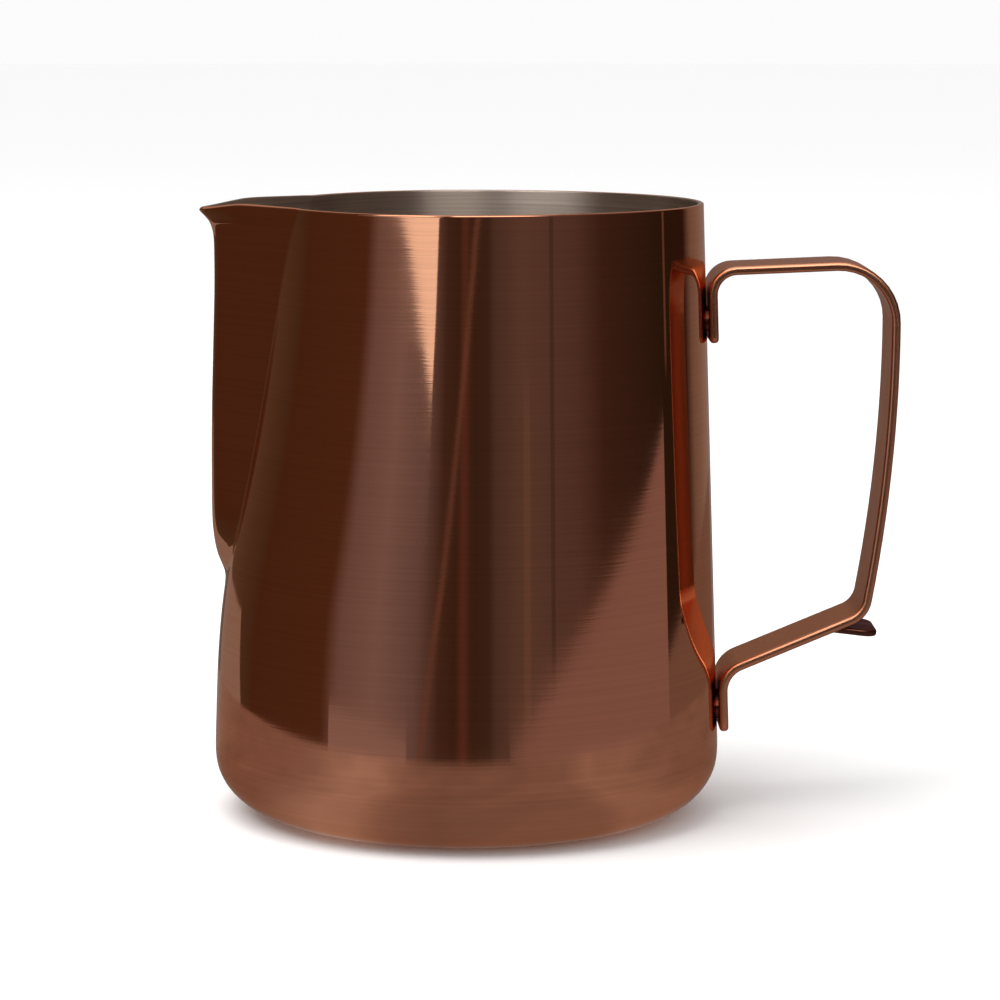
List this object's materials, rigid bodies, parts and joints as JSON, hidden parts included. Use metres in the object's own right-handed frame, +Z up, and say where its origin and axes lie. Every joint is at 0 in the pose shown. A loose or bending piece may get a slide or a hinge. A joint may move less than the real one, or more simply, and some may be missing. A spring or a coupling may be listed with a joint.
{
  "type": "milk frothing jug",
  "caption": "Spouted steel milk frothing jug with a copper-coloured outside, a bent flat strap handle welded to the wall and a small finger rest.",
  "frame": {"origin": "centre of the flat foot, on the body's axis", "axes": "+Z up along the body's axis, +X towards the handle, -X towards the spout"},
  "size_m": [0.1252, 0.0914, 0.11],
  "materials": {
    "copper_mirror": "mirror-polished stainless steel with a copper-coloured coating outside, bare brushed steel inside",
    "copper_satin": "satin copper-coloured coating on stainless steel",
    "weld_steel": "bare weld metal"
  },
  "bodies": {
    "root": {"vessel_body": "copper_mirror", "handle_strap": "copper_satin", "finger_rest": "copper_satin", "upper_spot_welds": "weld_steel", "lower_spot_welds": "weld_steel"}
  },
  "joints": []
}
